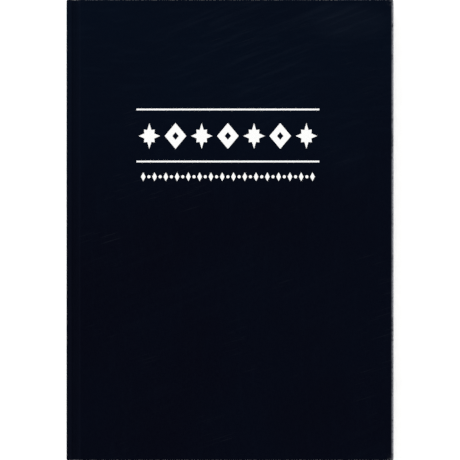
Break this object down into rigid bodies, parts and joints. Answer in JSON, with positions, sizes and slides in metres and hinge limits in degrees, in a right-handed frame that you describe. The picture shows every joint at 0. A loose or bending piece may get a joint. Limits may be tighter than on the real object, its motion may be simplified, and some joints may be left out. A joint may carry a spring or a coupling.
{
  "type": "pilot logbook",
  "caption": "Hardback A4 logbook: dark cloth covers with white foil rules and ornaments, sewn ruled pages, covers and front leaves that open",
  "frame": {"origin": "middle of the outer face of the back cover, which the closed book lies on", "axes": "+Z out of the front cover, +Y to the head of the book, +X to the fore-edge; the spine is at -X"},
  "size_m": [0.215, 0.303, 0.0146],
  "materials": {
    "cover_cloth": "fine-grained navy book cloth, matt",
    "foil": "white foil, pressed in",
    "greyboard": "raw",
    "endpaper": "smooth uncoated",
    "page_paper": "uncoated",
    "mull": "open-weave cotton",
    "kraft": "kraft",
    "glue": "dried book glue",
    "thread": "linen thread",
    "end_band": "woven band"
  },
  "bodies": {
    "text_block": {"signature_1": "page_paper", "signature_2": "page_paper", "signature_3": "page_paper", "signature_4": "page_paper", "signature_5": "page_paper", "signature_6": "page_paper", "signature_7": "page_paper", "signature_8": "page_paper", "front_endpaper_stub": "endpaper", "back_flyleaf": "endpaper", "sewing_thread": "thread", "spine_glue": "glue", "mull_spine": "mull", "kraft_lining": "kraft", "head_band": "end_band", "tail_band": "end_band", "spine_board": "greyboard", "spine_cloth": "cover_cloth"},
    "front_cover": {"front_board": "greyboard", "front_cover_cloth": "cover_cloth", "front_mull_flange": "mull", "front_pastedown": "endpaper", "foil_rules": "foil", "foil_title_ornament": "foil", "foil_border_ornament": "foil", "front_joint_cloth": "cover_cloth", "front_joint_mull": "mull", "front_joint_endpaper": "endpaper"},
    "back_cover": {"back_board": "greyboard", "back_cover_cloth": "cover_cloth", "back_mull_flange": "mull", "back_pastedown": "endpaper", "back_joint_cloth": "cover_cloth", "back_joint_mull": "mull", "back_joint_endpaper": "endpaper"},
    "front_flyleaf": {"front_flyleaf": "endpaper"},
    "leaf_1": {"leaf_1": "page_paper"},
    "leaf_2": {"leaf_2": "page_paper"},
    "leaf_3": {"leaf_3": "page_paper"},
    "leaf_4": {"leaf_4": "page_paper"}
  },
  "joints": [
    {"name": "front_cover_hinge", "type": "hinge", "parent": "text_block", "child": "front_cover", "pos_m": [-0.1035, 0, 0.01303], "axis": [0, -1, 0], "range_deg": [0, 179], "deforming": ["front_joint_cloth", "front_joint_mull", "front_joint_endpaper"]},
    {"name": "back_cover_hinge", "type": "hinge", "parent": "text_block", "child": "back_cover", "pos_m": [-0.1035, 0, 0.00158], "axis": [0, 1, 0], "range_deg": [0, 179], "deforming": ["back_joint_cloth", "back_joint_mull", "back_joint_endpaper"]},
    {"name": "front_flyleaf_hinge", "type": "hinge", "parent": "text_block", "child": "front_flyleaf", "pos_m": [-0.1035, 0, 0.01303], "axis": [0, -1, 0], "range_deg": [0, 180]},
    {"name": "leaf_1_hinge", "type": "hinge", "parent": "text_block", "child": "leaf_1", "pos_m": [-0.1035, 0, 0.01303], "axis": [0, -1, 0], "range_deg": [0, 180]},
    {"name": "leaf_2_hinge", "type": "hinge", "parent": "text_block", "child": "leaf_2", "pos_m": [-0.1035, 0, 0.01303], "axis": [0, -1, 0], "range_deg": [0, 180]},
    {"name": "leaf_3_hinge", "type": "hinge", "parent": "text_block", "child": "leaf_3", "pos_m": [-0.1035, 0, 0.01303], "axis": [0, -1, 0], "range_deg": [0, 180]},
    {"name": "leaf_4_hinge", "type": "hinge", "parent": "text_block", "child": "leaf_4", "pos_m": [-0.1035, 0, 0.01303], "axis": [0, -1, 0], "range_deg": [0, 180]}
  ],
  "couplings": [
    {"joint": "front_flyleaf_hinge", "follows": "front_cover_hinge", "ratio": 0.99},
    {"joint": "leaf_1_hinge", "follows": "front_cover_hinge", "ratio": 0.98},
    {"joint": "leaf_2_hinge", "follows": "front_cover_hinge", "ratio": 0.965},
    {"joint": "leaf_3_hinge", "follows": "front_cover_hinge", "ratio": 0.945},
    {"joint": "leaf_4_hinge", "follows": "front_cover_hinge", "ratio": 0.92}
  ]
}
